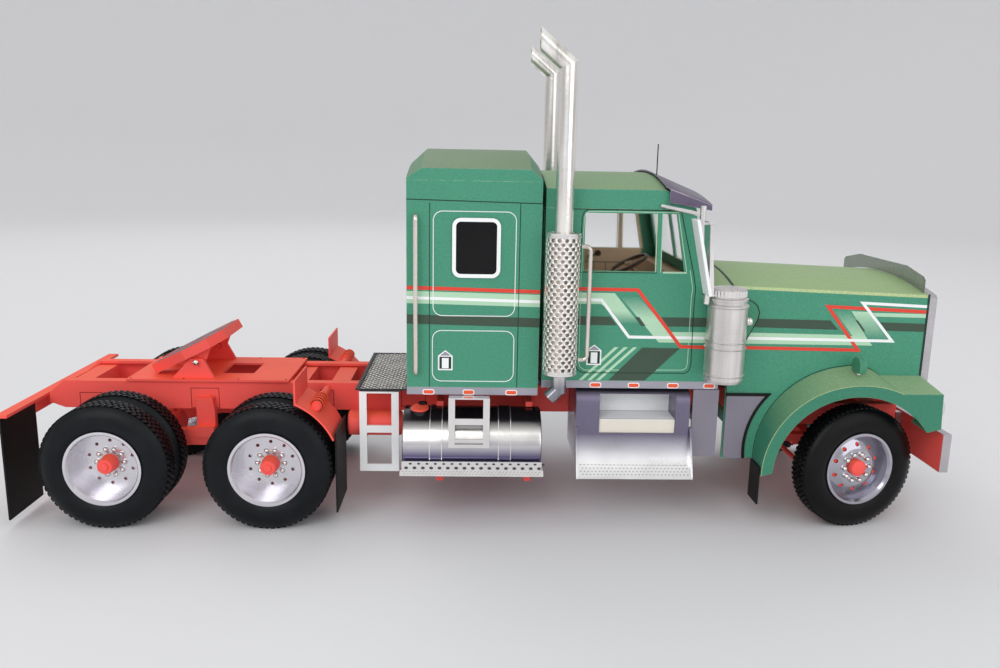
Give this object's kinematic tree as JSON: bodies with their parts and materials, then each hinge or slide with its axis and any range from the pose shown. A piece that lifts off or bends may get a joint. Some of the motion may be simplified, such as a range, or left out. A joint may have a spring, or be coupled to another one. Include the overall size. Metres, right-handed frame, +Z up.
{
  "type": "card scale model of a tractor unit",
  "caption": "Card scale model of a conventional sleeper tractor: long hood, sleeper, perforated muffler guards, twin rear wheels, tilting fifth wheel, steered front wheels.",
  "frame": {"origin": "on the ground under the middle of the model's box", "axes": "+X forward along the model's length, +Y to its left, +Z up"},
  "size_m": [0.3268, 0.1086, 0.1736],
  "materials": {
    "green_card": "printed, satin",
    "red_card": "painted, matt",
    "white_card": "matt",
    "grey_card": "matt",
    "tan_card": "printed, matt",
    "black_card": "satin",
    "black_tyre": "painted, satin",
    "dark_grating": "printed",
    "silver_foil": "metallic foil face",
    "violet_foil": "dark metallic foil face",
    "dark_film": "smoked film",
    "clear_film": "clear film"
  },
  "bodies": {
    "chassis": {"frame_rails": "red_card", "frame_crossmembers": "red_card", "fifth_wheel_base": "red_card", "flap_hanger": "red_card", "mudflaps": "black_card", "quarter_fenders": "red_card", "rear_suspension": "red_card", "rear_axles": "red_card", "air_tank": "red_card", "deck_plate": "dark_grating", "deck_ladders": "white_card", "fuel_tanks": "silver_foil", "tank_brackets": "red_card", "tank_steps": "silver_foil", "step_boxes": "silver_foil", "sleeper_sides": "green_card", "sleeper_ends": "green_card", "sleeper_roof": "green_card", "sleeper_windows": "black_card", "base_strips": "silver_foil", "grab_handles": "silver_foil", "cab_sides": "green_card", "cab_front": "green_card", "cab_roof": "green_card", "cab_floor": "grey_card", "cab_glass": "clear_film", "cab_seats": "tan_card", "dashboard": "tan_card", "sun_visor": "violet_foil", "mirrors": "silver_foil", "muffler_guards": "silver_foil", "exhaust_stacks": "silver_foil", "air_cleaners": "silver_foil", "hood": "green_card", "side_panels": "silver_foil", "radiator": "silver_foil", "bug_deflector": "dark_film", "front_fenders": "green_card", "front_lamps": "silver_foil", "bumper": "silver_foil", "front_axle": "red_card"},
    "fifth_wheel_plate": {"fifth_wheel": "red_card"},
    "knuckle_right_body": {"knuckle_right": "red_card"},
    "knuckle_left_body": {"knuckle_left": "red_card"},
    "tie_rod_body": {"tie_rod": "red_card"},
    "front_wheel_right": {"front_tyre_right": "black_tyre", "front_rim_right": "silver_foil"},
    "front_wheel_left": {"front_tyre_left": "black_tyre", "front_rim_left": "silver_foil"},
    "drive_wheels_right": {"drive_tyres_right": "black_tyre", "drive_rim_right": "silver_foil"},
    "drive_wheels_left": {"drive_tyres_left": "black_tyre", "drive_rim_left": "silver_foil"},
    "tail_wheels_right": {"tail_tyres_right": "black_tyre", "tail_rim_right": "silver_foil"},
    "tail_wheels_left": {"tail_tyres_left": "black_tyre", "tail_rim_left": "silver_foil"}
  },
  "joints": [
    {"name": "fifth_wheel_tilt", "type": "hinge", "parent": "chassis", "child": "fifth_wheel_plate", "pos_m": [-0.1054, 0, 0.0517], "axis": [0, 1, 0], "range_deg": [0, 35]},
    {"name": "steer_right", "type": "hinge", "parent": "chassis", "child": "knuckle_right_body", "pos_m": [0.1309, -0.0295, 0.022], "axis": [0, 0, 1], "range_deg": [-42, 18]},
    {"name": "steer_left", "type": "hinge", "parent": "chassis", "child": "knuckle_left_body", "pos_m": [0.1309, 0.0295, 0.022], "axis": [0, 0, 1], "range_deg": [-42, 18]},
    {"name": "tie_rod_turn", "type": "hinge", "parent": "knuckle_right_body", "child": "tie_rod_body", "pos_m": [0.1221, -0.03137, 0.015], "axis": [0, 0, 1], "range_deg": [-18, 42]},
    {"name": "front_right_spin", "type": "hinge", "parent": "knuckle_right_body", "child": "front_wheel_right", "pos_m": [0.13273, -0.03811, 0.022], "axis": [-0.2079, 0.9781, 0], "continuous": true},
    {"name": "drive_right_spin", "type": "hinge", "parent": "chassis", "child": "drive_wheels_right", "pos_m": [-0.0733, -0.0368, 0.022], "axis": [0, 1, 0], "continuous": true},
    {"name": "tail_right_spin", "type": "hinge", "parent": "chassis", "child": "tail_wheels_right", "pos_m": [-0.1284, -0.0368, 0.022], "axis": [0, 1, 0], "continuous": true},
    {"name": "front_left_spin", "type": "hinge", "parent": "knuckle_left_body", "child": "front_wheel_left", "pos_m": [0.12907, 0.03811, 0.022], "axis": [-0.2079, 0.9781, 0], "continuous": true},
    {"name": "drive_left_spin", "type": "hinge", "parent": "chassis", "child": "drive_wheels_left", "pos_m": [-0.0733, 0.0368, 0.022], "axis": [0, 1, 0], "continuous": true},
    {"name": "tail_left_spin", "type": "hinge", "parent": "chassis", "child": "tail_wheels_left", "pos_m": [-0.1284, 0.0368, 0.022], "axis": [0, 1, 0], "continuous": true}
  ],
  "couplings": [
    {"joint": "steer_left", "follows": "steer_right", "ratio": 1},
    {"joint": "tie_rod_turn", "follows": "steer_right", "ratio": -1}
  ]
}
